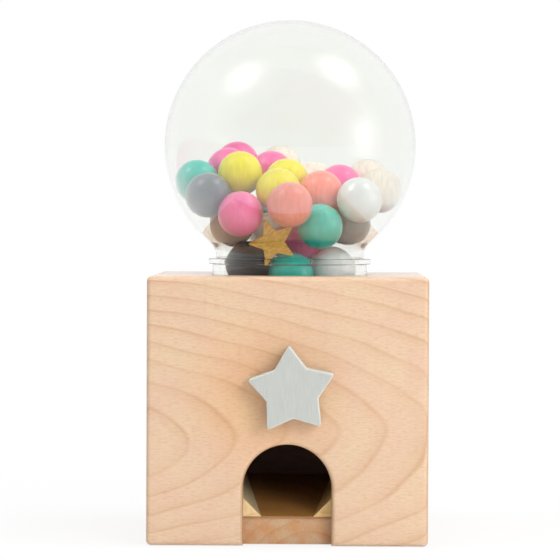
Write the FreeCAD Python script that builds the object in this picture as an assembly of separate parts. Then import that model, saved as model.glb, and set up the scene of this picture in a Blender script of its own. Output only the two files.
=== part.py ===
import FreeCAD, Part
import math
import os

# A table-top gumball machine: a clear globe of wooden balls on a beech box.
# The star on the front turns a drum that carries one ball at a time from the globe to the outlet.
# Millimetres: X points right, the front faces -Y, and Z points up from the middle of the underside.

# Driving dimensions
BOX_WIDTH = 110.0
BOX_HEIGHT = 105.0
FACE_BOARD = 8.0
BOARD = 10.0
EDGE_ROUND = 2.0
GLOBE_R = 51.0
GLOBE_RISE = 52.0
GLOBE_WALL = 1.0
NECK_R = 30.0
NECK_BORE_R = 28.0
BALL_R = 9.0
AXLE_R = 5.0
AXLE_Z = 61.0
ARCH_R = 17.3
ARCH_SPRING_Z = 22.2

# Clearances
RUN_GAP = 0.3
SHAFT_GAP = 0.05
BALL_ROOM = 1.1

# How far a cutter runs past the face that it opens, and how near counts as touching
OVERRUN = 1.0
NEAR = 0.01

# The box
HALF = BOX_WIDTH / 2
INSIDE_X = HALF - BOARD
INSIDE_Y = HALF - FACE_BOARD
FLOOR_Z = BOARD
CEILING_Z = BOX_HEIGHT - BOARD
SILL_ROUND = 0.8

# Dowels and screws
FIXING_X = HALF - BOARD / 2
FIXING_Y = 30.0
DOWEL_R = 3.0
DOWEL_HEIGHTS = (25.0, 80.0)
DOWEL_IN_FACE = 4.0
DOWEL_IN_SIDE = 8.0
SCREW_R = 1.75
SCREW_HEAD_R = 3.4
SCREW_HEAD = 2.0
BASE_SCREW_SINK = 0.3
BASE_SCREW_CONE = 2.2
BASE_SCREW_LENGTH = 24.0

# The globe's neck and the socket that it screws into
LEDGE_R = 33.0
LEDGE_LOW = BOX_HEIGHT + 4.2
LEDGE_HIGH = BOX_HEIGHT + 6.4
FINISH_R = 31.4
FINISH_LOW = BOX_HEIGHT - 6.5
GLOBE_CENTRE = BOX_HEIGHT + GLOBE_RISE
GLOBE_INNER_R = GLOBE_R - GLOBE_WALL
NECK_BLEND = 2.0
TOP_HOLE_R = FINISH_R + 0.6
TOP_HOLE_ROUND = 1.0
SOCKET_R = 35.0
SOCKET_TOP = BOX_HEIGHT - 2.5
SOCKET_BORE_R = FINISH_R + RUN_GAP + SHAFT_GAP
SEAT_Z = FINISH_LOW - RUN_GAP
FLANGE_R = 43.0
FLANGE = 3.0
FLANGE_LOW = CEILING_Z - FLANGE
SOCKET_SCREW_CIRCLE = 39.0
SOCKET_SCREW_ANGLES = (60.0, 120.0, 240.0, 300.0)
SOCKET_SCREW_R = 1.5
SOCKET_SCREW_HEAD_R = 2.8
SOCKET_SCREW_LENGTH = 9.0

# The hopper narrows to a throat that passes one ball
CONE_SLOPE = math.radians(30.0)
THROAT_R = BALL_R + BALL_ROOM
THROAT_TOP = SEAT_Z - (NECK_BORE_R - THROAT_R) * math.tan(CONE_SLOPE)

# The drum and what carries it
DRUM_R = 21.0
DRUM_HALF = 25.0
DRUM_TOP_GAP = 0.5
DRUM_BED_GAP = 0.4
POCKET_R = BALL_R + 0.8
POCKET_FLOOR = 0.9
AXLE_SOCKET = 12.0
HOPPER_LOW = AXLE_Z + DRUM_R + DRUM_TOP_GAP
CHEEK_LOW = AXLE_Z - 20.0
CHEEK_REAR = DRUM_HALF + 0.5
DROP_HALF = BALL_R + 1.5
BEARING_BOARD = 8.0
BEARING_SCREW_X = 30.0
BEARING_SCREW_HEIGHTS = (50.0, 74.0)
BEARING_SCREW_LENGTH = 20.0

# The star, its washer and the front bush
STAR_TIP_R = 17.9
STAR_VALLEY_R = 10.6
STAR_THICK = 10.0
STAR_SPIN = 4.0
STAR_ASIDE = 1.8
STAR_TIP_ROUND = 0.9
STAR_VALLEY_ROUND = 1.2
STAR_RIM_ROUND = 0.7
STAR_STANDOFF = 1.5
STAR_BORE = 7.0
WASHER_R = 8.0
BUSH_R = 7.0
BUSH_FLANGE_R = 10.0
BUSH_FLANGE = 1.5
SPACER_R = 8.0

# The chute behind the arch
CHUTE_HALF = 32.0
CHUTE_FRONT = -INSIDE_Y + 0.5
RAMP_FRONT = 0.8
RAMP_SLOPE = 0.15
GUIDE_HEIGHT = 11.0
GUIDE_FOOT_FRONT = 10.2
GUIDE_FOOT_REAR = 17.8

# The gold star token among the balls
TOKEN_TIP_R = 10.4
TOKEN_VALLEY_R = 4.7
TOKEN_THICK = 3.5
TOKEN_SPIN = 21.0
TOKEN_PLACE = (-6.4, -20.8, 118.3)
TOKEN_TIP_ROUND = 0.5
TOKEN_RIM_ROUND = 0.4

# Places of the balls in the pile, by paint. Each lies clear of the next, and the black one in
# the throat stays above the drum.
THROAT_BALL_Z = HOPPER_LOW + BALL_R
BALLS = {
    "balls_teal": [(-38, 3.2, 142.4), (12.2, -21.7, 124.7), (0.7, -13.5, 105.4), (-7, 27.3, 128.5)],
    "balls_slate": [(-32.6, -13.2, 137), (23.8, -2.2, 125.6), (9.5, 16.3, 124.8)],
    "balls_yellow": [(-20.2, -3, 145.8), (-1.4, 2, 143), (-4.5, -16, 138.8), (-24.6, 15.8, 128.8)],
    "balls_pink": [
        (-25.6, 15.5, 147.6), (-22.5, 33.4, 150.6), (-8, 20.5, 146.5), (-19.3, -22.9, 129.5),
        (20.3, 7.3, 140.8), (4.6, -3, 120.6),
    ],
    "balls_coral": [(0.3, -32.8, 133.2), (12.5, -9, 138.1), (13, 13, 107)],
    "balls_silver": [(27.8, -18.6, 135.3), (17.4, -5, 107.5), (-8, 10, 121)],
    "balls_natural": [
        (-4.6, 38.4, 149.2), (9.5, 25, 142.2), (31.8, 21.4, 143.2), (36.3, -1.6, 139), (-23.5, -2, 125),
        (-10.8, 15.4, 104),
    ],
    "balls_black": [(-16.4, -8, 109.5), (0, 0, THROAT_BALL_Z)],
}


def vec(x, y, z):
    return FreeCAD.Vector(x, y, z)


def block(x0, x1, y0, y1, z0, z1):
    """A box between the given limits."""
    return Part.makeBox(x1 - x0, y1 - y0, z1 - z0, vec(x0, y0, z0))


def upright(radius, z0, z1, x=0.0, y=0.0):
    """A cylinder that stands up."""
    return Part.makeCylinder(radius, z1 - z0, vec(x, y, z0), vec(0, 0, 1))


def lengthwise(radius, y0, y1, x=0.0, z=AXLE_Z):
    """A cylinder that runs from front to back."""
    return Part.makeCylinder(radius, y1 - y0, vec(x, y0, z), vec(0, 1, 0))


def cone(r0, r1, z0, z1, x=0.0, y=0.0):
    return Part.makeCone(r0, r1, z1 - z0, vec(x, y, z0), vec(0, 0, 1))


def cut_all(shape, tools):
    for tool in tools:
        shape = shape.cut(tool)
    return shape


def corners(x, y):
    """The four places at plus and minus x and y."""
    return [(side * x, end * y) for side in (-1, 1) for end in (-1, 1)]


# The box

def envelope():
    """The whole box with every outer edge rounded."""
    solid = block(-HALF, HALF, -HALF, HALF, 0, BOX_HEIGHT)
    return solid.makeFillet(EDGE_ROUND, solid.Edges)


def face_dowels(front):
    """Dowels that pin a face board to the two sides."""
    reach = -INSIDE_Y if front else INSIDE_Y
    into_face = DOWEL_IN_FACE if front else DOWEL_IN_SIDE
    into_side = DOWEL_IN_SIDE if front else DOWEL_IN_FACE
    return [
        lengthwise(DOWEL_R, reach - into_face, reach + into_side, side * FIXING_X, height)
        for side in (-1, 1)
        for height in DOWEL_HEIGHTS
    ]


def top_dowels():
    """Dowels that pin the top to the two sides."""
    return [
        upright(DOWEL_R, CEILING_Z - DOWEL_IN_SIDE, CEILING_Z + DOWEL_IN_FACE, x, y)
        for x, y in corners(FIXING_X, FIXING_Y)
    ]


def base_screw(x, y, head_low):
    """A countersunk screw driven up into a side, its head starting at the given height."""
    cone_low = BASE_SCREW_SINK
    cone_high = BASE_SCREW_SINK + BASE_SCREW_CONE
    shank = upright(SCREW_R, head_low, BASE_SCREW_LENGTH, x, y)
    head = cone(SCREW_HEAD_R, SCREW_R, cone_low, cone_high, x, y)
    solid = shank.fuse(head)
    if head_low < cone_low:
        solid = solid.fuse(upright(SCREW_HEAD_R, head_low, cone_low, x, y))
    return solid.removeSplitter()


def base_screws(head_low=BASE_SCREW_SINK):
    return [base_screw(x, y, head_low) for x, y in corners(FIXING_X, FIXING_Y)]


def arch():
    """The outlet: straight sides under a half circle."""
    y0 = -HALF - OVERRUN
    y1 = -INSIDE_Y + OVERRUN
    legs = block(-ARCH_R, ARCH_R, y0, y1, -OVERRUN, ARCH_SPRING_Z)
    return legs.fuse(lengthwise(ARCH_R, y0, y1, 0, ARCH_SPRING_Z)).removeSplitter()


def eased_edges(plate):
    """The edges of the front board that are rounded: all on its face, and its four corners."""
    found = []
    for edge in plate.Edges:
        limits = edge.BoundBox
        on_face = limits.YMax < -HALF + NEAR
        at_side = limits.XLength < NEAR and abs(abs(limits.XMin) - HALF) < NEAR
        corner = at_side and limits.ZLength < NEAR
        if on_face or corner:
            found.append(edge)
    return found


def front_panel():
    plate = block(-HALF, HALF, -HALF, -INSIDE_Y, 0, BOX_HEIGHT).cut(arch()).removeSplitter()
    plate = plate.makeFillet(EDGE_ROUND, eased_edges(plate))
    plate = plate.cut(lengthwise(BUSH_R, -HALF - OVERRUN, -INSIDE_Y + OVERRUN))
    return cut_all(plate, face_dowels(True))


def back_panel(shell):
    plate = shell.common(block(-HALF, HALF, INSIDE_Y, HALF, 0, BOX_HEIGHT))
    return cut_all(plate, face_dowels(False))


def side_panel(shell, side):
    x0 = min(side * INSIDE_X, side * HALF)
    plate = shell.common(block(x0, x0 + BOARD, -INSIDE_Y, INSIDE_Y, FLOOR_Z, CEILING_Z))
    return cut_all(plate, face_dowels(True) + face_dowels(False) + top_dowels() + base_screws())


def top_panel(shell):
    plate = shell.common(block(-HALF, HALF, -INSIDE_Y, INSIDE_Y, CEILING_Z, BOX_HEIGHT))
    plate = plate.cut(upright(TOP_HOLE_R, CEILING_Z, BOX_HEIGHT + OVERRUN))
    rim = [
        e for e in plate.Edges
        if e.BoundBox.ZMin > BOX_HEIGHT - NEAR and e.BoundBox.XLength < 2 * SOCKET_R
    ]
    plate = plate.makeFillet(TOP_HOLE_ROUND, rim)
    plate = plate.cut(upright(SOCKET_R, CEILING_Z - OVERRUN, SOCKET_TOP))
    return cut_all(plate, top_dowels() + socket_screws())


def base_panel(shell):
    plate = shell.common(block(-HALF, HALF, -INSIDE_Y, INSIDE_Y, 0, FLOOR_Z))
    sill = [
        e for e in plate.Edges
        if e.BoundBox.YMax < -INSIDE_Y + NEAR and e.BoundBox.ZMin > FLOOR_Z - NEAR
    ]
    plate = plate.makeFillet(SILL_ROUND, sill)
    return cut_all(plate, base_screws(-OVERRUN))


# The socket and hopper

def hopper_cone(low, high):
    """The funnel space between two heights, on one slope from the neck to the throat."""
    def radius(z):
        return THROAT_R + (z - THROAT_TOP) / math.tan(CONE_SLOPE)
    return cone(radius(low), radius(high), low, high)


def socket_screws():
    screws = []
    for angle in SOCKET_SCREW_ANGLES:
        x = SOCKET_SCREW_CIRCLE * math.cos(math.radians(angle))
        y = SOCKET_SCREW_CIRCLE * math.sin(math.radians(angle))
        head = upright(SOCKET_SCREW_HEAD_R, FLANGE_LOW - SCREW_HEAD, FLANGE_LOW, x, y)
        shank = upright(SOCKET_SCREW_R, FLANGE_LOW, FLANGE_LOW + SOCKET_SCREW_LENGTH, x, y)
        screws.append(head.fuse(shank).removeSplitter())
    return screws


def globe_socket():
    solid = upright(SOCKET_R, FLANGE_LOW, SOCKET_TOP)
    solid = solid.fuse(upright(FLANGE_R, FLANGE_LOW, CEILING_Z)).removeSplitter()
    solid = solid.cut(upright(SOCKET_BORE_R, SEAT_Z, SOCKET_TOP + OVERRUN))
    solid = solid.cut(hopper_cone(FLANGE_LOW, SEAT_Z))
    return cut_all(solid, socket_screws())


def hopper_block():
    solid = block(-INSIDE_X, INSIDE_X, -DRUM_HALF, CHEEK_REAR, HOPPER_LOW, FLANGE_LOW)
    solid = solid.cut(hopper_cone(THROAT_TOP, FLANGE_LOW))
    return solid.cut(upright(THROAT_R, HOPPER_LOW - OVERRUN, THROAT_TOP))


# The drum and its housing

def dispenser_drum():
    """A drum with one round pocket, facing up at rest, and a blind socket for an axle in each end."""
    drum = lengthwise(DRUM_R, -DRUM_HALF, DRUM_HALF)
    floor = AXLE_Z + POCKET_FLOOR + POCKET_R
    pocket = upright(POCKET_R, floor, AXLE_Z + DRUM_R + OVERRUN)
    pocket = pocket.fuse(Part.makeSphere(POCKET_R, vec(0, 0, floor))).removeSplitter()
    front_hole = lengthwise(AXLE_R, -DRUM_HALF, -DRUM_HALF + AXLE_SOCKET)
    rear_hole = lengthwise(AXLE_R, DRUM_HALF - AXLE_SOCKET, DRUM_HALF)
    return cut_all(drum, [pocket, front_hole, rear_hole])


def pocket_ball():
    """The next ball to come out, lying in the drum's pocket."""
    return Part.makeSphere(BALL_R, vec(0, 0, AXLE_Z + POCKET_FLOOR + BALL_R + SHAFT_GAP))


def bearing_screws():
    face = CHEEK_REAR + BEARING_BOARD
    screws = []
    for side in (-1, 1):
        for height in BEARING_SCREW_HEIGHTS:
            x = side * BEARING_SCREW_X
            head = lengthwise(SCREW_HEAD_R, face, face + SCREW_HEAD, x, height)
            shank = lengthwise(SCREW_R, face - BEARING_SCREW_LENGTH, face, x, height)
            screws.append(head.fuse(shank).removeSplitter())
    return screws


def drum_cheek(side):
    """A block beside the drum, hollowed to the drum's curve."""
    x0 = min(side * DROP_HALF, side * INSIDE_X)
    width = INSIDE_X - DROP_HALF
    solid = block(x0, x0 + width, -DRUM_HALF, CHEEK_REAR, CHEEK_LOW, HOPPER_LOW)
    solid = solid.cut(lengthwise(DRUM_R + DRUM_BED_GAP, -DRUM_HALF - OVERRUN, CHEEK_REAR + OVERRUN))
    return cut_all(solid, bearing_screws())


def rear_bearing_board():
    rear = CHEEK_REAR + BEARING_BOARD
    board = block(-INSIDE_X, INSIDE_X, CHEEK_REAR, rear, FLOOR_Z, HOPPER_LOW)
    board = board.cut(lengthwise(AXLE_R + SHAFT_GAP, CHEEK_REAR - OVERRUN, rear + OVERRUN))
    return cut_all(board, bearing_screws())


def front_bush():
    bush = lengthwise(BUSH_R, -HALF, -INSIDE_Y + BUSH_FLANGE)
    bush = bush.fuse(lengthwise(BUSH_FLANGE_R, -INSIDE_Y, -INSIDE_Y + BUSH_FLANGE)).removeSplitter()
    return bush.cut(lengthwise(AXLE_R + SHAFT_GAP, -HALF - OVERRUN, 0))


def knob_washer():
    front = -HALF - STAR_STANDOFF
    back = -HALF - RUN_GAP
    washer = lengthwise(WASHER_R, front, back)
    return washer.cut(lengthwise(AXLE_R, front - OVERRUN, back + OVERRUN))


def axle_spacer():
    front = -INSIDE_Y + BUSH_FLANGE + RUN_GAP
    spacer = lengthwise(SPACER_R, front, -DRUM_HALF)
    return spacer.cut(lengthwise(AXLE_R, front - OVERRUN, -DRUM_HALF + OVERRUN))


def front_axle():
    return lengthwise(AXLE_R, -HALF - STAR_STANDOFF - STAR_BORE, -DRUM_HALF + AXLE_SOCKET)


def rear_axle():
    return lengthwise(AXLE_R, DRUM_HALF - AXLE_SOCKET, CHEEK_REAR + BEARING_BOARD)


def star(tip, valley, thick, tip_round, valley_round, rim_round):
    """A five-pointed plate in the XY plane with eased points and front rim."""
    points = []
    for step in range(10):
        radius = valley if step % 2 else tip
        angle = math.radians(90 + 36 * step)
        points.append(vec(radius * math.cos(angle), radius * math.sin(angle), 0))
    plate = Part.Face(Part.makePolygon(points + points[:1])).extrude(vec(0, 0, thick))
    middle = (tip + valley) / 2
    upright_edges = [e for e in plate.Edges if e.BoundBox.ZLength > thick / 2]
    outer = [e for e in upright_edges if math.hypot(e.Vertexes[0].X, e.Vertexes[0].Y) > middle]
    plate = plate.makeFillet(tip_round, outer)
    upright_edges = [e for e in plate.Edges if e.BoundBox.ZLength > thick / 2]
    inner = [e for e in upright_edges if math.hypot(e.Vertexes[0].X, e.Vertexes[0].Y) < valley + NEAR]
    if valley_round:
        plate = plate.makeFillet(valley_round, inner)
    rim = [e for e in plate.Edges if e.BoundBox.ZMin > thick - NEAR]
    return plate.makeFillet(rim_round, rim)


def face_front(shape, spin, place):
    """Turn a plate so that its top faces the front, spin it there and set its back at a place."""
    shape.rotate(vec(0, 0, 0), vec(0, 0, 1), spin)
    shape.rotate(vec(0, 0, 0), vec(1, 0, 0), 90)
    shape.translate(vec(*place))
    return shape


def star_knob():
    """The turning star, bored a little aside of its middle for the axle."""
    back = -HALF - STAR_STANDOFF
    rounds = (STAR_TIP_ROUND, STAR_VALLEY_ROUND, STAR_RIM_ROUND)
    knob = star(STAR_TIP_R, STAR_VALLEY_R, STAR_THICK, *rounds)
    knob = face_front(knob, STAR_SPIN, (STAR_ASIDE, back, AXLE_Z))
    return knob.cut(lengthwise(AXLE_R, back - STAR_BORE, back + OVERRUN))


# The chute

def ramp_height(y):
    return FLOOR_Z + RAMP_FRONT + RAMP_SLOPE * (y - CHUTE_FRONT)


def chute_ramp():
    profile = [
        vec(-CHUTE_HALF, CHUTE_FRONT, FLOOR_Z),
        vec(-CHUTE_HALF, CHUTE_FRONT, ramp_height(CHUTE_FRONT)),
        vec(-CHUTE_HALF, CHEEK_REAR, ramp_height(CHEEK_REAR)),
        vec(-CHUTE_HALF, CHEEK_REAR, FLOOR_Z),
    ]
    return Part.Face(Part.makePolygon(profile + profile[:1])).extrude(vec(2 * CHUTE_HALF, 0, 0))


def guide_section(side, y, foot):
    """A slice across a guide: its inner face leans out at 45 degrees."""
    low = ramp_height(y)
    points = [
        vec(side * foot, y, low),
        vec(side * (foot + GUIDE_HEIGHT), y, low + GUIDE_HEIGHT),
        vec(side * CHUTE_HALF, y, low + GUIDE_HEIGHT),
        vec(side * CHUTE_HALF, y, low),
    ]
    return Part.makePolygon(points + points[:1])


def chute_guide(side):
    front = guide_section(side, CHUTE_FRONT, GUIDE_FOOT_FRONT)
    rear = guide_section(side, CHEEK_REAR, GUIDE_FOOT_REAR)
    return Part.makeLoft([front, rear], True, True)


# The globe and what it holds

def globe():
    """One clear moulding: a sphere on a neck with a ledge and a screw finish below it."""
    def on_sphere(radius, across):
        return GLOBE_CENTRE - math.sqrt(radius ** 2 - across ** 2)
    outside = [
        vec(NECK_BORE_R, 0, FINISH_LOW),
        vec(FINISH_R, 0, FINISH_LOW),
        vec(FINISH_R, 0, LEDGE_LOW),
        vec(LEDGE_R, 0, LEDGE_LOW),
        vec(LEDGE_R, 0, LEDGE_HIGH),
        vec(NECK_R, 0, LEDGE_HIGH),
        vec(NECK_R, 0, on_sphere(GLOBE_R, NECK_R)),
    ]
    top = vec(0, 0, GLOBE_CENTRE + GLOBE_R)
    inner_top = vec(0, 0, GLOBE_CENTRE + GLOBE_INNER_R)
    inner_low = vec(NECK_BORE_R, 0, on_sphere(GLOBE_INNER_R, NECK_BORE_R))
    edges = [Part.LineSegment(a, b).toShape() for a, b in zip(outside, outside[1:])]
    edges.append(Part.Arc(outside[-1], vec(GLOBE_R, 0, GLOBE_CENTRE), top).toShape())
    edges.append(Part.LineSegment(top, inner_top).toShape())
    edges.append(Part.Arc(inner_top, vec(GLOBE_INNER_R, 0, GLOBE_CENTRE), inner_low).toShape())
    edges.append(Part.LineSegment(inner_low, outside[0]).toShape())
    solid = Part.Face(Part.Wire(edges)).revolve(vec(0, 0, 0), vec(0, 0, 1), 360)
    neck_z = outside[-1].z
    level = [e for e in solid.Edges if e.BoundBox.ZLength < NEAR]
    joint = [e for e in level if abs(e.BoundBox.ZMin - neck_z) < NEAR and e.BoundBox.XLength > NECK_R]
    return solid.makeFillet(NECK_BLEND, joint)


def gold_star():
    token = star(TOKEN_TIP_R, TOKEN_VALLEY_R, TOKEN_THICK, TOKEN_TIP_ROUND, 0, TOKEN_RIM_ROUND)
    return face_front(token, TOKEN_SPIN, TOKEN_PLACE)


def ball_groups():
    """The balls in the globe, one group for each paint."""
    return {
        name: Part.makeCompound([Part.makeSphere(BALL_R, vec(*place)) for place in places])
        for name, places in BALLS.items()
    }


def all_parts():
    shell = envelope()
    parts = {
        "front_panel": front_panel(),
        "back_panel": back_panel(shell),
        "left_side_panel": side_panel(shell, -1),
        "right_side_panel": side_panel(shell, 1),
        "top_panel": top_panel(shell),
        "base_panel": base_panel(shell),
        "front_dowels": Part.makeCompound(face_dowels(True)),
        "rear_dowels": Part.makeCompound(face_dowels(False)),
        "top_dowels": Part.makeCompound(top_dowels()),
        "base_screws": Part.makeCompound(base_screws()),
        "globe_socket": globe_socket(),
        "socket_screws": Part.makeCompound(socket_screws()),
        "hopper_block": hopper_block(),
        "left_drum_cheek": drum_cheek(-1),
        "right_drum_cheek": drum_cheek(1),
        "rear_bearing_board": rear_bearing_board(),
        "bearing_board_screws": Part.makeCompound(bearing_screws()),
        "front_bush": front_bush(),
        "chute_ramp": chute_ramp(),
        "left_chute_guide": chute_guide(-1),
        "right_chute_guide": chute_guide(1),
        "star_knob": star_knob(),
        "knob_washer": knob_washer(),
        "front_axle": front_axle(),
        "axle_spacer": axle_spacer(),
        "dispenser_drum": dispenser_drum(),
        "rear_axle": rear_axle(),
        "pocket_ball": pocket_ball(),
        "globe": globe(),
        "gold_star": gold_star(),
    }
    parts.update(ball_groups())
    return parts


def main():
    os.makedirs("parts", exist_ok=True)
    for name, shape in all_parts().items():
        shape.exportStep(os.path.join("parts", name + ".step"))
        print(name, "solids", len(shape.Solids), "valid", shape.isValid(), "mm3", round(shape.Volume, 1))


main()
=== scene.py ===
import math

import bpy
from mathutils import Matrix, Vector


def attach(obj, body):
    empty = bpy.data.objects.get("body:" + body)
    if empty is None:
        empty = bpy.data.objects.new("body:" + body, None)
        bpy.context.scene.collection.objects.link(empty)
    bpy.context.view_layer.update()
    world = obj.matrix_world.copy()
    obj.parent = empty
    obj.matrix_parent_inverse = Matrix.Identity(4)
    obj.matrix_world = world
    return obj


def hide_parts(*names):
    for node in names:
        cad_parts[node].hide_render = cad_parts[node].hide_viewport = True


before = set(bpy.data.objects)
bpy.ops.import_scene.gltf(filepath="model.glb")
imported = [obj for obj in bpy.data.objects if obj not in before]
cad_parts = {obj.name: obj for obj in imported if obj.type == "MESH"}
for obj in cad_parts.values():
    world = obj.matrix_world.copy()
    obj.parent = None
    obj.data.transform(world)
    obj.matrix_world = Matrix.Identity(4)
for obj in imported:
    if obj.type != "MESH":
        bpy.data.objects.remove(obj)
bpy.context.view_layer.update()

# The looks of a table-top gumball machine: a beech box with a star knob, and a clear globe of wooden balls.
# The axes are the part's own: X points right, the front faces -Y, and Z points up from the underside.
X, Y, Z = 0, 1, 2
MM = 0.001

# Sizes of the part in millimetres, as its source has them
BOX_WIDTH = 110.0
BOX_HEIGHT = 105.0
BOX_HALF = BOX_WIDTH / 2
GLOBE_R = 51.0
GLOBE_RISE = 52.0
GLOBE_CENTRE = BOX_HEIGHT + GLOBE_RISE
GLOBE_WALL = 1.0
NECK_R = 30.0
FINISH_R = 31.4
FINISH_LOW = BOX_HEIGHT - 6.5
LEDGE_R = 33.0
LEDGE_LOW = BOX_HEIGHT + 4.2
LEDGE_HIGH = BOX_HEIGHT + 6.4

# The globe's neck is drawn a little thinner and softer than in the source
NECK_BORE_R = 28.8
NECK_BLEND = 3.4
LEDGE_ROUND = 0.35

# How finely the globe is turned
LATHE_STEPS = 240
SPHERE_STEPS = 112
BEND_STEPS = 8

# The view, in metres and in pixels of the photo. The camera stands a little right of the middle and a
# little above the box, and a level ray straight to the back falls on LEVEL_PIXEL.
PHOTO_SIZE = 560
CAMERA_PLACE = (0.0143, -1.255, 0.1290)
FOCAL_PIXELS = 3087.0
LEVEL_PIXEL = (324.8, 215.0)
CAMERA_ROLL = math.radians(0.25)
SENSOR = 36.0
CLIP_NEAR = 0.05
CLIP_FAR = 50.0

# The light, in metres and watts. Two soft boxes overhead and one on the right show as the globe's
# highlights. One at the top and one in front light the part without showing in gloss. Fade is the power
# by which a lamp dims from LAMP_MIDDLE to LAMP_EDGE, which are shares of its width.
# An even white surround fills in, and in gloss it is dark toward the front.
LAMPS = {
    "lamp_over_left": {"toward": (-0.53, -0.20, 0.83), "size": 0.90, "watts": 1.7, "fade": 3},
    "lamp_over_right": {"toward": (0.50, -0.06, 0.84), "size": 0.90, "watts": 1.7, "fade": 3},
    "lamp_top": {"toward": (0.0, -0.12, 1.0), "size": 1.20, "watts": 3.6, "in_gloss": False},
    "lamp_right": {"toward": (0.92, -0.34, 0.20), "size": 1.20, "watts": 1.6, "fade": 3},
    "lamp_front": {"toward": (0.44, -0.86, 0.26), "size": 0.65, "watts": 3.3, "in_gloss": False},
}
LAMP_DISTANCE = 0.95
LAMP_AIM = Vector((0.0, 0.0, 0.10))
LAMP_MIDDLE = (0.5, 0.5, 0.0)
LAMP_EDGE = 0.5
SURROUND = 0.55
GLOSS_FRONT = 0.1
GLOSS_FRONT_Y = -0.95
GLOSS_SIDE_Y = -0.2

# The floor, in metres. A share of it is plain white to the eye, and the rest keeps the part's shadow.
FLOOR_DROP = 0.0002
FLOOR_HALF = 6.0
FLOOR_GREY = 0.86
FLOOR_ROUGHNESS = 0.9
FLOOR_SHINE = 0.1
FLOOR_NEAR = 0.10
FLOOR_FAR = 0.30
FLOOR_WHITE_NEAR = 0.8
FLOOR_WHITE_FAR = 1.0


# Colours

def channel(value):
    """One screen value from 0 to 255, made linear for shaders by the sRGB formula."""
    share = value / 255.0
    return share / 12.92 if share <= 0.04045 else ((share + 0.055) / 1.055) ** 2.4


def linear(red, green, blue):
    """A colour written as screen values."""
    return (channel(red), channel(green), channel(blue), 1.0)


def grey(value):
    """A colour with the same value in each channel."""
    return (value, value, value, 1.0)


WHITE = grey(1.0)


# Shader graph helpers. Soft noise keeps mostly to NOISE_RANGE.

NOISE_RANGE = (0.3, 0.7)
NOISE_MIDDLE = 0.5


def new_material(name):
    """A new material, its node tree and its main shader."""
    material = bpy.data.materials.new(name)
    material.use_nodes = True
    tree = material.node_tree
    return material, tree, tree.nodes["Principled BSDF"]


def feed(tree, value, socket):
    """Link a socket to another one, or set it to a plain value."""
    if isinstance(value, bpy.types.NodeSocket):
        tree.links.new(value, socket)
    else:
        socket.default_value = value


def calc(tree, operation, first, second=0.0):
    """One step of arithmetic."""
    made = tree.nodes.new("ShaderNodeMath")
    made.operation = operation
    feed(tree, first, made.inputs[0])
    feed(tree, second, made.inputs[1])
    return made.outputs[0]


def split(tree, vector):
    """The three parts of a vector."""
    made = tree.nodes.new("ShaderNodeSeparateXYZ")
    tree.links.new(vector, made.inputs[0])
    return made.outputs


def join(tree, x, y, z):
    """A vector from three parts."""
    made = tree.nodes.new("ShaderNodeCombineXYZ")
    for value, socket in zip((x, y, z), made.inputs):
        feed(tree, value, socket)
    return made.outputs[0]


def distance(tree, vector, centre):
    """How far a point is from a fixed one."""
    made = tree.nodes.new("ShaderNodeVectorMath")
    made.operation = "DISTANCE"
    tree.links.new(vector, made.inputs[0])
    made.inputs[1].default_value = centre
    return made.outputs["Value"]


def object_point(tree):
    """The point on the object in millimetres, in three parts."""
    scale = tree.nodes.new("ShaderNodeVectorMath")
    scale.operation = "SCALE"
    scale.inputs["Scale"].default_value = 1 / MM
    tree.links.new(tree.nodes.new("ShaderNodeTexCoord").outputs["Object"], scale.inputs[0])
    return split(tree, scale.outputs[0])


def object_normal(tree):
    """The way that the surface faces, in three parts along the object's axes."""
    return split(tree, tree.nodes.new("ShaderNodeTexCoord").outputs["Normal"])


def noise(tree, vector, scale, detail):
    """Soft noise from 0 to 1, with the scale in waves per millimetre."""
    made = tree.nodes.new("ShaderNodeTexNoise")
    tree.links.new(vector, made.inputs["Vector"])
    made.inputs["Scale"].default_value = scale
    made.inputs["Detail"].default_value = detail
    return made.outputs["Fac"]


def span(tree, value, low, high, to_low=0.0, to_high=1.0):
    """A value carried from one range to another, held at its ends."""
    made = tree.nodes.new("ShaderNodeMapRange")
    made.clamp = True
    for socket, number in zip(made.inputs, (value, low, high, to_low, to_high)):
        feed(tree, number, socket)
    return made.outputs[0]


def spread(tree, value, to_low=0.0, to_high=1.0):
    """A noise carried to another range from the one that it mostly keeps to."""
    return span(tree, value, *NOISE_RANGE, to_low, to_high)


def curve(tree, factor, stops):
    """A grey read off a line through (position, value) pairs."""
    made = tree.nodes.new("ShaderNodeValToRGB")
    elements = made.color_ramp.elements
    while len(elements) < len(stops):
        elements.new(0.5)
    for element, (position, value) in zip(elements, stops):
        element.position = position
        element.color = grey(value)
    tree.links.new(factor, made.inputs["Fac"])
    return made.outputs["Color"]


def blend(tree, factor, first, second, mode="MIX"):
    """One colour laid over another."""
    made = tree.nodes.new("ShaderNodeMix")
    made.data_type = "RGBA"
    made.blend_type = mode
    feed(tree, factor, made.inputs["Factor"])
    feed(tree, first, made.inputs["A"])
    feed(tree, second, made.inputs["B"])
    return made.outputs["Result"]


def bump(tree, shader, height, depth):
    """Give a shader fine relief of the given depth in millimetres."""
    made = tree.nodes.new("ShaderNodeBump")
    made.inputs["Distance"].default_value = depth * MM
    made.inputs["Strength"].default_value = 1.0
    tree.links.new(height, made.inputs["Height"])
    tree.links.new(made.outputs["Normal"], shader.inputs["Normal"])


def mix_shaders(tree, share, first, second):
    """Give the material a mix of two shaders."""
    mixed = tree.nodes.new("ShaderNodeMixShader")
    for value, socket in zip((share, first.outputs[0], second.outputs[0]), mixed.inputs):
        tree.links.new(value, socket)
    tree.links.new(mixed.outputs[0], tree.nodes["Material Output"].inputs["Surface"])


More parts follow.
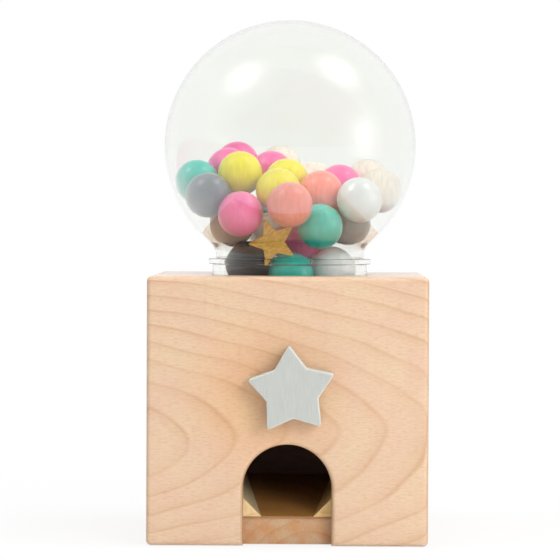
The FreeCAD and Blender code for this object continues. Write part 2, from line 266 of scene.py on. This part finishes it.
# Wood: its colours
WOOD_PINK = linear(220, 178, 150)
WOOD_STRAW = linear(220, 193, 153)
WOOD_LIGHT = linear(222, 193, 167)
WOOD_LINE = linear(202, 158, 121)
WOOD_FLECK = linear(187, 143, 108)
LIGHT_SHARE = 0.55

# Wood: noises as (scale, detail), the part of each noise that shows, and how strongly it shows.
# Draw is how far a pattern is drawn out along the grain, or (along, across) it, where less is longer.
BLOTCH_NOISE = (0.055, 3.0)
BLOTCH_RANGE = (0.35, 0.65)
RING_DRAW = 0.45
RING_WANDER_NOISE = (0.035, 1.0)
RING_WANDER = 6.0
RING_LINE = [(0.0, 0.0), (0.5, 0.04), (0.8, 0.4), (0.9, 1.0), (1.0, 0.0)]
RING_FADE_NOISE = (0.06, 2.0)
RING_FADE = (0.25, 0.85)
STREAK_DRAW = 0.16
STREAK_NOISE = (1.5, 2.0)
STREAK_RANGE = (0.45, 0.75)
STREAK_SHARE = 0.22
FLECK_DRAW = (0.30, 3.2)
FLECK_NOISE = (1.5, 1.0)
FLECK_RANGE = (0.52, 0.74)
FLECK_SHARE = 0.45
END_GRAIN_FACING = (0.4, 0.95)

# Wood: its surface
WOOD_ROUGHNESS = (0.52, 0.62)
WOOD_SHINE = 0.35
WOOD_RELIEF = 0.04
BOARD_LACQUER = 0.6
TOP_LACQUER = 1.0
LACQUER_ROUGHNESS = 0.22

# Colours by which the wood's colour is multiplied: the darker end grain and the sill's patches, and painted
# shadow, painted shade and painted light on the box and its works
END_GRAIN_STAIN = (0.76, 0.69, 0.58, 1.0)
# Painted shadow: the orange-brown shadow of the star knob on the front board
STAR_SHADOW_TINT = (1.04, 0.92, 0.77, 1.0)
# Painted light: the left chute guide made paler, as if lit from the right
LEFT_GUIDE_LIGHT = (1.2, 1.45, 1.4, 1.0)
# Painted shade: the tint of the right chute guide, the same beech as the left one, as it looks in shade
RIGHT_GUIDE_SHADE = (1.1, 1.1, 0.7, 1.0)
# Painted shade: the ramp made brown and dark, deep in the outlet
RAMP_SHADE = (0.74, 0.52, 0.22, 1.0)
# Painted shade: the blocks, drum and axles deep in the box made near black
DEEP_SHADE = (0.16, 0.09, 0.06, 1.0)
# Painted light on the ramp's lit front edge, paler and less brown
RAMP_EDGE_LIGHT = (1.05, 1.15, 2.0, 1.0)
# Painted light: a tint on the lit front faces of the left chute guide
LEFT_GUIDE_FRONT_LIGHT = (1.04, 0.95, 0.8, 1.0)
SILL_ORANGE = (1.08, 0.86, 0.62, 1.0)
SILL_PALE = grey(1.08)
# Painted shade on the ramp, deeper toward the drum
RAMP_REAR_SHADE = grey(0.8)

# Where the painted shadow, shade and light and the sill's patches lie.
FRONT_FACING = (-0.95, -0.8)
# Where the painted star shadow lies: its middle, the distance out to which it is full, and where it is gone
STAR_SHADOW_X = -9.0
STAR_SHADOW_Z = 59.0
STAR_SHADOW_FULL = 12.6
STAR_SHADOW_REACH = 36.0
# Where the ramp's painted shade begins to deepen toward the drum, and where it is full
RAMP_LIGHT_Y = -14.0
RAMP_DARK_Y = 16.0
SILL_NOISE = (0.13, 2.0)
SILL_RANGE = (0.42, 0.6)

# How each piece was cut from its log: (axis, offset) along the grain, across it and into the piece,
# then the spacing of the rings, the depth of the log's heart and the heart's drift along the grain
CUTS = {
    "front_panel": ((X, 0), (Z, -42), (Y, BOX_HALF), (5.5, 38.4, 0.29)),
    "back_panel": ((X, 31), (Z, -58), (Y, -BOX_HALF), (5.2, -46.0, -0.25)),
    "top_panel": ((X, -20), (Y, 6), (Z, -BOX_HEIGHT), (5.0, -55.0, -0.22)),
    "left_side_panel": ((Y, 25), (Z, -50), (X, BOX_HALF), (5.4, 43.0, 0.24)),
    "right_side_panel": ((Y, -15), (Z, -60), (X, -BOX_HALF), (5.6, -48.0, 0.26)),
    "base_panel": ((Y, 12), (X, -10), (Z, 0), (4.6, 30.0, 0.2)),
    "dowel": ((Y, 0), (X, 14), (Z, 0), (4.8, 52.0, 0.1)),
    "guide": ((Z, 0), (X, 14), (Y, 40), (2.4, 30.0, 0.4)),
    "shaded_guide": ((Z, 0), (X, -14), (Y, 40), (2.4, 30.0, -0.4)),
    "ramp": ((Y, 0), (X, 9), (Z, 0), (4.4, 48.0, 0.1)),
    "shaded_blocks": ((X, 0), (Y, 4), (Z, -50), (5.0, 45.0, 0.15)),
    "turned": ((Y, 0), (X, 4), (Z, -61), (3.2, 12.0, 0.02)),
}


def drawn_out(tree, place, along, across=1.0):
    """A place in the wood, scaled so that a pattern is drawn out along the grain."""
    u, v, w = place
    return join(tree, calc(tree, "MULTIPLY", u, along), calc(tree, "MULTIPLY", v, across), w)


def ring_lines(tree, place, ring):
    """Growth rings as dark lines that come and go. The log's heart lies deep behind the face and drifts
    away along the grain, so that the rings show as nested arches."""
    spacing, heart, drift = ring
    u, v, w = place
    wander_place = drawn_out(tree, place, RING_DRAW)
    wander = calc(tree, "SUBTRACT", noise(tree, wander_place, *RING_WANDER_NOISE), NOISE_MIDDLE)
    depth = calc(tree, "ADD", calc(tree, "MULTIPLY", u, drift), calc(tree, "ADD", w, heart))
    square = calc(tree, "ADD", calc(tree, "MULTIPLY", v, v), calc(tree, "MULTIPLY", depth, depth))
    radius = calc(tree, "ADD", calc(tree, "SQRT", square), calc(tree, "MULTIPLY", wander, RING_WANDER))
    phase = calc(tree, "FRACT", calc(tree, "DIVIDE", radius, spacing))
    fade = spread(tree, noise(tree, wander_place, *RING_FADE_NOISE), *RING_FADE)
    return calc(tree, "MULTIPLY", curve(tree, phase, RING_LINE), fade)


def beech(cut, lacquer=0.0):
    """Beech with growth rings, streaks and short flecks, darker on end grain, as one of the CUTS.
    Lacquer is the share of a clear coat on it."""
    material, tree, shader = new_material("beech_" + cut)
    *ways, ring = CUTS[cut]
    point = object_point(tree)
    place = [calc(tree, "ADD", point[axis], offset) for axis, offset in ways]
    blotch = span(tree, noise(tree, join(tree, *place), *BLOTCH_NOISE), *BLOTCH_RANGE)
    streaks = noise(tree, drawn_out(tree, place, STREAK_DRAW), *STREAK_NOISE)
    streak = span(tree, streaks, *STREAK_RANGE, 0.0, STREAK_SHARE)
    flecks = noise(tree, drawn_out(tree, place, *FLECK_DRAW), *FLECK_NOISE)
    fleck = span(tree, flecks, *FLECK_RANGE, 0.0, FLECK_SHARE)
    grain_axis = ways[0][0]
    end_grain = span(tree, calc(tree, "ABSOLUTE", object_normal(tree)[grain_axis]), *END_GRAIN_FACING)

    colour = blend(tree, blotch, WOOD_PINK, WOOD_STRAW)
    colour = blend(tree, LIGHT_SHARE, colour, WOOD_LIGHT)
    colour = blend(tree, ring_lines(tree, place, ring), colour, WOOD_LINE)
    colour = blend(tree, streak, colour, WOOD_FLECK)
    colour = blend(tree, fleck, colour, WOOD_FLECK)
    colour = blend(tree, end_grain, colour, END_GRAIN_STAIN, "MULTIPLY")
    tree.links.new(colour, shader.inputs["Base Color"])
    tree.links.new(span(tree, streak, 0.0, STREAK_SHARE, *WOOD_ROUGHNESS), shader.inputs["Roughness"])
    shader.inputs["Specular IOR Level"].default_value = WOOD_SHINE
    shader.inputs["Coat Weight"].default_value = lacquer
    shader.inputs["Coat Roughness"].default_value = LACQUER_ROUGHNESS
    bump(tree, shader, calc(tree, "SUBTRACT", 1.0, calc(tree, "ADD", fleck, streak)), WOOD_RELIEF)
    return material


def stain_and_shade(material, colour):
    """Multiply a material's colour by another one, which may come from a node of its tree."""
    tree = material.node_tree
    socket = tree.nodes["Principled BSDF"].inputs["Base Color"]
    bare = socket.links[0].from_socket
    tree.links.new(blend(tree, 1.0, bare, colour, "MULTIPLY"), socket)
    return material


def stain_and_shade_front(material, colour):
    """Multiply the colour of the faces that look to the front."""
    tree = material.node_tree
    front = span(tree, object_normal(tree)[Y], *FRONT_FACING, 1.0, 0.0)
    return stain_and_shade(material, blend(tree, front, WHITE, colour))


def board_with_star_shadow():
    """The front board, with a painted orange-brown shadow round the star knob."""
    material = beech("front_panel", BOARD_LACQUER)
    tree = material.node_tree
    point = object_point(tree)
    away = distance(tree, join(tree, point[X], 0.0, point[Z]), (STAR_SHADOW_X, 0.0, STAR_SHADOW_Z))
    star_shadow = span(tree, away, STAR_SHADOW_FULL, STAR_SHADOW_REACH, 1.0, 0.0)
    return stain_and_shade(material, blend(tree, star_shadow, WHITE, STAR_SHADOW_TINT))


def patched_base():
    """The base board, whose front edge is the sill and has orange patches."""
    material = beech("base_panel", BOARD_LACQUER)
    tree = material.node_tree
    patch = span(tree, noise(tree, join(tree, *object_point(tree)), *SILL_NOISE), *SILL_RANGE)
    return stain_and_shade_front(material, blend(tree, patch, SILL_PALE, SILL_ORANGE))


def shaded_ramp():
    """The ramp with painted shade, browner and darker toward the drum, and painted light that makes its lit
    front edge paler.
    """
    material = stain_and_shade(beech("ramp"), RAMP_SHADE)
    tree = material.node_tree
    rear = span(tree, object_point(tree)[Y], RAMP_LIGHT_Y, RAMP_DARK_Y)
    stain_and_shade(material, blend(tree, rear, WHITE, RAMP_REAR_SHADE))
    return stain_and_shade_front(material, RAMP_EDGE_LIGHT)


# Paint on the balls: the grain of the wood shows through it, and the colour differs a little by ball
BALL_ROUGHNESS = 0.34
BALL_GRAIN = 0.12
BALL_VARNISH = 0.8
VARNISH_ROUGHNESS = 0.29
BALL_SHIFT = 40.0
BALL_DRAW_Y = 0.4
BALL_DRAW_Z = 0.12
BALL_NOISE = (1.1, 3.0)
BALL_RANGE = (0.35, 0.65)
BALL_DARKEST = 0.92
CLOUD_NOISE = (0.35, 3.0)
CLOUD_SMOOTHER = 0.05
CLOUD_ROUGHER = 0.07
LOW_BALLS = (130.0, 134.0)
BRUSH_RELIEF = 0.03
PAINTS = {
    "yellow": {"paint": (240, 226, 0), "varnish": 0.5},
    "teal": {"paint": (0, 200, 182)},
    "slate": {"paint": (112, 120, 130)},
    "pink": {"paint": (254, 100, 172)},
    "coral": {"paint": (255, 142, 122)},
    "black": {"paint": (12, 11, 10), "varnish": 0.2},
    "silver": {"paint": (246, 247, 246), "metallic": 0.15, "grain": 0.04},
}
POCKET_COLOUR = "yellow"
BARE_WOOD = {
    "paint": (255, 245, 230), "low_paint": (170, 126, 104), "rough": 0.5, "grain": 0.15, "varnish": 0.2,
}

# Silver paint on the star knob
STAR_DARK = linear(184, 187, 182)
STAR_LIGHT = linear(195, 197, 192)
STAR_RIM_CREAM = linear(226, 220, 206)
STAR_METAL = 0.15
STAR_ROUGHNESS = (0.42, 0.54)
STAR_DRAW = 0.06
STAR_NOISE = (2.6, 3.0)
RIM_OUTER_FACING = (0.25, 0.6)
RIM_INNER_FACING = (0.9, 0.99)
RIM_NOISE = (0.8, 2.0)
RIM_RANGE = (0.3, 0.6)
RIM_SHARE = (0.1, 0.5)

# The gold token
GOLD_DARK = linear(210, 152, 42)
GOLD_LIGHT = linear(254, 210, 106)
GOLD_METAL = 0.45
GOLD_ROUGHNESS = (0.34, 0.48)
GOLD_SLANT = 0.45
GOLD_DRAW = 0.2
GOLD_NOISE = (3.4, 3.0)
GOLD_RANGE = (0.35, 0.65)

# The clear globe, with a bright skin outside that is full low on the ball of the globe, thin on the neck
# and thinnest over the upper half
CLEAR_DARK = linear(248, 249, 246)
CLEAR_LIGHT = linear(250, 251, 248)
CLEAR_NOISE = (0.03, 2.0)
CLEAR_ROUGHNESS = (0.0, 0.015)
CLEAR_GLINT = 0.4
CLEAR_IOR = 1.47
SKIN_IOR = 2.0
SKIN_ROUGHNESS = 0.03
SKIN_ON_NECK = 0.3
SKIN_ABOVE = 0.2
SKIN_NECK_Z = (LEDGE_HIGH + 1.0, LEDGE_HIGH + 9.0)
SKIN_ABOVE_Z = (GLOBE_CENTRE - 15.0, GLOBE_CENTRE)

# Plastic and steel inside the box
SOCKET_PAINT = (238, 237, 232)
NYLON_PAINT = (232, 230, 224)
MOULD_NOISE = (3.0, 2.0)
MOULD_DARKEST = 0.96
MOULD_ROUGHNESS = (0.42, 0.58)
MOULD_RELIEF = 0.02
STEEL_DARK = linear(170, 170, 166)
STEEL_LIGHT = linear(206, 205, 200)
STEEL_NOISE = (4.0, 3.0)
STEEL_ROUGHNESS = (0.25, 0.4)


def painted_ball(
    name, paint, low_paint=None, metallic=0.0,
    rough=BALL_ROUGHNESS, grain=BALL_GRAIN, varnish=BALL_VARNISH,
):
    """Satin paint under varnish on a turned wooden ball. Where low_paint is given, the balls low in the
    globe take that colour."""
    material, tree, shader = new_material(name)
    x, y, z = object_point(tree)
    ball = tree.nodes.new("ShaderNodeNewGeometry").outputs["Random Per Island"]
    shift = calc(tree, "MULTIPLY", ball, BALL_SHIFT)
    place = join(
        tree,
        calc(tree, "ADD", x, shift),
        calc(tree, "ADD", calc(tree, "MULTIPLY", y, BALL_DRAW_Y), shift),
        calc(tree, "MULTIPLY", z, BALL_DRAW_Z),
    )
    streak = span(tree, noise(tree, place, *BALL_NOISE), *BALL_RANGE, 1.0 - grain, 1.0)
    value = calc(tree, "MULTIPLY", streak, span(tree, ball, 0.0, 1.0, BALL_DARKEST, 1.0))
    hue = linear(*paint)
    if low_paint:
        hue = blend(tree, span(tree, z, *LOW_BALLS), linear(*low_paint), hue)
    colour = blend(tree, 1.0, hue, join(tree, value, value, value), "MULTIPLY")
    tree.links.new(colour, shader.inputs["Base Color"])
    cloud = noise(tree, join(tree, x, y, z), *CLOUD_NOISE)
    roughness = spread(tree, cloud, rough - CLOUD_SMOOTHER, rough + CLOUD_ROUGHER)
    tree.links.new(roughness, shader.inputs["Roughness"])
    shader.inputs["Metallic"].default_value = metallic
    shader.inputs["Coat Weight"].default_value = varnish
    shader.inputs["Coat Roughness"].default_value = VARNISH_ROUGHNESS
    bump(tree, shader, streak, BRUSH_RELIEF)
    return material


def silver_star():
    """Silver paint brushed on wood along the grain, with a pale cream line along the rim, in patches."""
    material, tree, shader = new_material("silver_star")
    x, y, z = object_point(tree)
    place = join(tree, x, y, calc(tree, "MULTIPLY", z, STAR_DRAW))
    brush = spread(tree, noise(tree, place, *STAR_NOISE))
    facing = calc(tree, "ABSOLUTE", object_normal(tree)[Y])
    outer = span(tree, facing, *RIM_OUTER_FACING)
    inner = span(tree, facing, *RIM_INNER_FACING, 1.0, 0.0)
    rim_patches = span(tree, noise(tree, place, *RIM_NOISE), *RIM_RANGE, *RIM_SHARE)
    rim_line = calc(tree, "MULTIPLY", calc(tree, "MULTIPLY", outer, inner), rim_patches)
    colour = blend(tree, rim_line, blend(tree, brush, STAR_DARK, STAR_LIGHT), STAR_RIM_CREAM)
    tree.links.new(colour, shader.inputs["Base Color"])
    tree.links.new(span(tree, brush, 0.0, 1.0, *STAR_ROUGHNESS), shader.inputs["Roughness"])
    shader.inputs["Metallic"].default_value = STAR_METAL
    bump(tree, shader, brush, BRUSH_RELIEF)
    return material


def brushed_gold():
    """Gold-coloured metal with a fine slanted brush."""
    material, tree, shader = new_material("brushed_gold")
    x, y, z = object_point(tree)
    along = calc(tree, "ADD", x, calc(tree, "MULTIPLY", z, GOLD_SLANT))
    across = calc(tree, "SUBTRACT", z, calc(tree, "MULTIPLY", x, GOLD_SLANT))
    place = join(tree, calc(tree, "MULTIPLY", along, GOLD_DRAW), y, across)
    brush = span(tree, noise(tree, place, *GOLD_NOISE), *GOLD_RANGE)
    tree.links.new(blend(tree, brush, GOLD_DARK, GOLD_LIGHT), shader.inputs["Base Color"])
    tree.links.new(span(tree, brush, 0.0, 1.0, *GOLD_ROUGHNESS), shader.inputs["Roughness"])
    shader.inputs["Metallic"].default_value = GOLD_METAL
    bump(tree, shader, brush, BRUSH_RELIEF)
    return material


def clear_plastic(name):
    """A clear moulding, a little grey, with slow waves in its gloss. Lamps shine straight through it."""
    material, tree, shader = new_material(name)
    wave = spread(tree, noise(tree, join(tree, *object_point(tree)), *CLEAR_NOISE))
    tree.links.new(blend(tree, wave, CLEAR_DARK, CLEAR_LIGHT), shader.inputs["Base Color"])
    tree.links.new(span(tree, wave, 0.0, 1.0, *CLEAR_ROUGHNESS), shader.inputs["Roughness"])
    shader.inputs["Transmission Weight"].default_value = 1.0
    shader.inputs["Specular Tint"].default_value = grey(CLEAR_GLINT)
    shader.inputs["IOR"].default_value = CLEAR_IOR
    passing = tree.nodes.new("ShaderNodeBsdfTransparent")
    passing.inputs["Color"].default_value = WHITE
    shadow = tree.nodes.new("ShaderNodeLightPath").outputs["Is Shadow Ray"]
    mix_shaders(tree, shadow, shader, passing)
    return material


def skinned_plastic(name):
    """The clear moulding with a bright skin on the side of the air."""
    material = clear_plastic(name)
    tree = material.node_tree
    shader = tree.nodes["Principled BSDF"]
    height = object_point(tree)[Z]
    inner_side = tree.nodes.new("ShaderNodeNewGeometry").outputs["Backfacing"]
    skin = span(tree, inner_side, 0.0, 1.0, 1.0, 0.0)
    skin = calc(tree, "MULTIPLY", skin, span(tree, height, *SKIN_NECK_Z, SKIN_ON_NECK, 1.0))
    skin = calc(tree, "MULTIPLY", skin, span(tree, height, *SKIN_ABOVE_Z, 1.0, SKIN_ABOVE))
    tree.links.new(skin, shader.inputs["Coat Weight"])
    shader.inputs["Coat IOR"].default_value = SKIN_IOR
    shader.inputs["Coat Roughness"].default_value = SKIN_ROUGHNESS
    return material


def moulded_plastic(name, paint):
    """Matt moulded plastic with a fine spark-eroded texture."""
    material, tree, shader = new_material(name)
    grain = noise(tree, join(tree, *object_point(tree)), *MOULD_NOISE)
    darker = linear(*[part * MOULD_DARKEST for part in paint])
    tree.links.new(blend(tree, spread(tree, grain), darker, linear(*paint)), shader.inputs["Base Color"])
    tree.links.new(spread(tree, grain, *MOULD_ROUGHNESS), shader.inputs["Roughness"])
    bump(tree, shader, grain, MOULD_RELIEF)
    return material


def plated_steel():
    """Bright plated steel with a fine grain."""
    material, tree, shader = new_material("plated_steel")
    grain = noise(tree, join(tree, *object_point(tree)), *STEEL_NOISE)
    tree.links.new(blend(tree, spread(tree, grain), STEEL_DARK, STEEL_LIGHT), shader.inputs["Base Color"])
    tree.links.new(spread(tree, grain, *STEEL_ROUGHNESS), shader.inputs["Roughness"])
    shader.inputs["Metallic"].default_value = 1.0
    return material


# The globe as a fine lathe turning, so that its curves are clean where things are seen through it

def bend(start, corner, end):
    """A curve that leaves the start toward the corner and arrives at the end."""
    points = []
    for step in range(BEND_STEPS + 1):
        t = step / BEND_STEPS
        weights = ((1 - t) ** 2, 2 * t * (1 - t), t ** 2)
        r = sum(w * p[0] for w, p in zip(weights, (start, corner, end)))
        z = sum(w * p[1] for w, p in zip(weights, (start, corner, end)))
        points.append((r, z))
    return points


def on_sphere(sphere_r, angle):
    """The point of the globe's round line at an angle below its middle."""
    return (sphere_r * math.cos(angle), GLOBE_CENTRE - sphere_r * math.sin(angle))


def sphere_and_neck(sphere_r, neck_r):
    """The line from the neck, through a soft bend, over the sphere to its top."""
    low_angle = math.acos(neck_r / sphere_r)
    bend_angle = low_angle - NECK_BLEND / sphere_r
    corner = on_sphere(sphere_r, low_angle)
    points = bend((neck_r, corner[1] - NECK_BLEND), corner, on_sphere(sphere_r, bend_angle))
    for step in range(1, SPHERE_STEPS + 1):
        angle = bend_angle - (bend_angle + math.pi / 2) * step / SPHERE_STEPS
        points.append(on_sphere(sphere_r, angle))
    points[-1] = (0.0, GLOBE_CENTRE + sphere_r)
    return points


def rounding_end(corner, other):
    """The point where the rounding of a corner meets the straight line to another one."""
    share = LEDGE_ROUND / math.dist(corner, other)
    return tuple(c + (o - c) * share for c, o in zip(corner, other))


def globe_profile():
    """Radius and height in millimetres, from the top inside, down, round the finish and up outside."""
    inside = list(reversed(sphere_and_neck(GLOBE_R - GLOBE_WALL, NECK_BORE_R)))
    outside = sphere_and_neck(GLOBE_R, NECK_R)
    corners = [
        inside[-1],
        (NECK_BORE_R, FINISH_LOW), (FINISH_R, FINISH_LOW), (FINISH_R, LEDGE_LOW),
        (LEDGE_R, LEDGE_LOW), (LEDGE_R, LEDGE_HIGH), (NECK_R, LEDGE_HIGH),
        outside[0],
    ]
    finish = []
    for before, corner, after in zip(corners, corners[1:], corners[2:]):
        finish += bend(rounding_end(corner, before), corner, rounding_end(corner, after))
    return inside + finish + outside


def lathe(name, profile):
    """Turn a line of (radius, height) in millimetres about the upright axis."""
    verts = []
    rings = []
    for r, z in profile:
        count = LATHE_STEPS if r > 0 else 1
        ring = []
        for step in range(count):
            angle = 2 * math.pi * step / LATHE_STEPS
            ring.append(len(verts))
            verts.append((r * math.cos(angle) * MM, r * math.sin(angle) * MM, z * MM))
        rings.append(ring)
    faces = []
    for low, high in zip(rings, rings[1:]):
        for step in range(LATHE_STEPS):
            after = (step + 1) % LATHE_STEPS
            near = (low[step % len(low)], high[step % len(high)])
            far = (low[after % len(low)], high[after % len(high)])
            faces.append(list(dict.fromkeys((near[0], far[0], far[1], near[1]))))
    mesh = bpy.data.meshes.new(name)
    mesh.from_pydata(verts, [], faces)
    mesh.shade_smooth()
    piece = bpy.data.objects.new(name, mesh)
    bpy.context.scene.collection.objects.link(piece)
    return piece


def blow_globe():
    """The globe, with the bright skin outside and plain clear plastic on its inner wall."""
    piece = lathe("globe_moulding", globe_profile())
    piece.data.materials.append(skinned_plastic("clear_plastic"))
    piece.data.materials.append(clear_plastic("clear_plastic_inside"))
    inner_bands = len(sphere_and_neck(GLOBE_R - GLOBE_WALL, NECK_BORE_R))
    for face in piece.data.polygons[:inner_bands * LATHE_STEPS]:
        face.material_index = 1
    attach(piece, "globe_body")
    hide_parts("globe")


# Which material goes on which node

def dress(material, *nodes):
    """Put a material on some of the part's nodes, in place of what they have."""
    for name in nodes:
        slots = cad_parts[name].data.materials
        slots.clear()
        slots.append(material)


def dress_box():
    """The six boards of the box and their dowels."""
    dress(board_with_star_shadow(), "front_panel")
    dress(patched_base(), "base_panel")
    dress(beech("top_panel", TOP_LACQUER), "top_panel")
    for name in ("back_panel", "left_side_panel", "right_side_panel"):
        dress(beech(name, BOARD_LACQUER), name)
    dress(beech("dowel"), "front_dowels", "rear_dowels", "top_dowels")


def dress_works():
    """The wood inside the box: the chute, the blocks round the drum, and what turns. The left guide has
    painted light, and the right guide, the ramp, the blocks and what turns have painted shade.
    """
    # Lit and shaded copies of one beech: painted light on the left guide, painted shade on the right one
    dress(stain_and_shade_front(stain_and_shade(beech("guide"), LEFT_GUIDE_LIGHT), LEFT_GUIDE_FRONT_LIGHT), "left_chute_guide")
    dress(stain_and_shade(beech("shaded_guide"), RIGHT_GUIDE_SHADE), "right_chute_guide")
    dress(shaded_ramp(), "chute_ramp")
    blocks = stain_and_shade(beech("shaded_blocks"), DEEP_SHADE)
    dress(blocks, "hopper_block", "left_drum_cheek", "right_drum_cheek", "rear_bearing_board")
    turned = stain_and_shade(beech("turned"), DEEP_SHADE)
    dress(turned, "dispenser_drum", "front_axle", "rear_axle", "axle_spacer")


def dress_balls():
    """The balls by colour. The natural ones are bare wood, and browner low in the globe."""
    for colour, look in PAINTS.items():
        painted = painted_ball("paint_" + colour, **look)
        dress(painted, "balls_" + colour)
        if colour == POCKET_COLOUR:
            dress(painted, "pocket_ball")
    dress(painted_ball("bare_wood", **BARE_WOOD), "balls_natural")


def dress_rest():
    """The two stars, the plastic and the screws."""
    dress(silver_star(), "star_knob")
    dress(brushed_gold(), "gold_star")
    dress(moulded_plastic("socket_plastic", SOCKET_PAINT), "globe_socket")
    dress(moulded_plastic("white_nylon", NYLON_PAINT), "front_bush", "knob_washer")
    dress(plated_steel(), "base_screws", "socket_screws", "bearing_board_screws")


# The stage

def seen_directly(tree):
    """1 for what the camera sees itself, in a reflection or through clear plastic, and 0 for light."""
    path = tree.nodes.new("ShaderNodeLightPath").outputs
    seen = calc(tree, "MAXIMUM", path["Is Camera Ray"], path["Is Glossy Ray"])
    return calc(tree, "MAXIMUM", seen, path["Is Transmission Ray"])


def floor_material():
    """Pale and matt, and white to the eye apart from the shadow near the part."""
    material, tree, shader = new_material("floor")
    shader.inputs["Base Color"].default_value = grey(FLOOR_GREY)
    shader.inputs["Roughness"].default_value = FLOOR_ROUGHNESS
    shader.inputs["Specular IOR Level"].default_value = FLOOR_SHINE
    place = tree.nodes.new("ShaderNodeTexCoord").outputs["Object"]
    away = distance(tree, place, (0.0, 0.0, 0.0))
    clean = span(tree, away, FLOOR_NEAR, FLOOR_FAR, FLOOR_WHITE_NEAR, FLOOR_WHITE_FAR)
    share = calc(tree, "MULTIPLY", seen_directly(tree), clean)
    mix_shaders(tree, share, shader, tree.nodes.new("ShaderNodeEmission"))
    return material


def make_floor():
    """A wide square floor, just clear of the part's underside."""
    low, high = -FLOOR_HALF, FLOOR_HALF
    corners = [(low, low), (high, low), (high, high), (low, high)]
    mesh = bpy.data.meshes.new("floor")
    mesh.from_pydata([(x, y, -FLOOR_DROP) for x, y in corners], [], [(0, 1, 2, 3)])
    mesh.materials.append(floor_material())
    floor = bpy.data.objects.new("floor", mesh)
    bpy.context.scene.collection.objects.link(floor)


def make_surround():
    """An even surround: white where it is seen, dimmer as light on the part, and dark in front in gloss."""
    world = bpy.data.worlds.new("surround")
    bpy.context.scene.world = world
    world.use_nodes = True
    tree = world.node_tree
    background = tree.nodes["Background"]
    background.inputs["Color"].default_value = WHITE
    path = tree.nodes.new("ShaderNodeLightPath").outputs
    direction = split(tree, tree.nodes.new("ShaderNodeTexCoord").outputs["Generated"])
    in_gloss = span(tree, direction[Y], GLOSS_FRONT_Y, GLOSS_SIDE_Y, GLOSS_FRONT, 1.0)
    straight = calc(tree, "MAXIMUM", path["Is Camera Ray"], path["Is Transmission Ray"])
    mirrored = calc(tree, "MINIMUM", path["Glossy Depth"], 1.0)
    strength = span(tree, straight, 0.0, 1.0, SURROUND, 1.0)
    strength = span(tree, mirrored, 0.0, 1.0, strength, in_gloss)
    tree.links.new(strength, background.inputs["Strength"])


def make_lamp(name, toward, size, watts, fade=1, in_gloss=True):
    """A round soft box that faces the part. Its glow falls to nothing at the edge by the power fade,
    and the peak in its middle keeps the lamp's whole output the same."""
    data = bpy.data.lights.new(name, "AREA")
    data.shape = "SQUARE"
    data.size = size
    data.energy = watts
    data.use_nodes = True
    tree = data.node_tree
    spot = tree.nodes.new("ShaderNodeNewGeometry").outputs["Parametric"]
    from_middle = distance(tree, spot, LAMP_MIDDLE)
    glow = calc(tree, "POWER", span(tree, from_middle, 0.0, LAMP_EDGE, 1.0, 0.0), fade)
    peak = (fade + 1) * (fade + 2) / (2 * math.pi * LAMP_EDGE ** 2)
    tree.links.new(calc(tree, "MULTIPLY", glow, peak), tree.nodes["Emission"].inputs["Strength"])
    lamp = bpy.data.objects.new(name, data)
    lamp.visible_glossy = in_gloss
    lamp.visible_transmission = in_gloss
    lamp.location = LAMP_AIM + Vector(toward).normalized() * LAMP_DISTANCE
    lamp.rotation_euler = (LAMP_AIM - lamp.location).to_track_quat("-Z", "Y").to_euler()
    bpy.context.scene.collection.objects.link(lamp)


def make_camera():
    """A camera at the photographed height and side, aimed so that LEVEL_PIXEL falls in its place."""
    data = bpy.data.cameras.new("camera")
    data.sensor_width = SENSOR
    data.lens = SENSOR * FOCAL_PIXELS / PHOTO_SIZE
    data.clip_start = CLIP_NEAR
    data.clip_end = CLIP_FAR
    camera = bpy.data.objects.new("camera", data)
    camera.location = CAMERA_PLACE
    right = (LEVEL_PIXEL[0] - PHOTO_SIZE / 2) / FOCAL_PIXELS
    up = (PHOTO_SIZE / 2 - LEVEL_PIXEL[1]) / FOCAL_PIXELS
    aim = Vector((-right, 1.0, -up)).to_track_quat("-Z", "Y").to_matrix()
    turned = aim @ Matrix.Rotation(CAMERA_ROLL, 3, Vector((0.0, 0.0, 1.0)))
    camera.rotation_euler = turned.to_euler()
    scene = bpy.context.scene
    scene.collection.objects.link(camera)
    scene.camera = camera
    scene.view_settings.view_transform = "Standard"


dress_box()
dress_works()
dress_balls()
dress_rest()
blow_globe()
make_floor()
make_surround()
for lamp_name, lamp in LAMPS.items():
    make_lamp(lamp_name, **lamp)
make_camera()
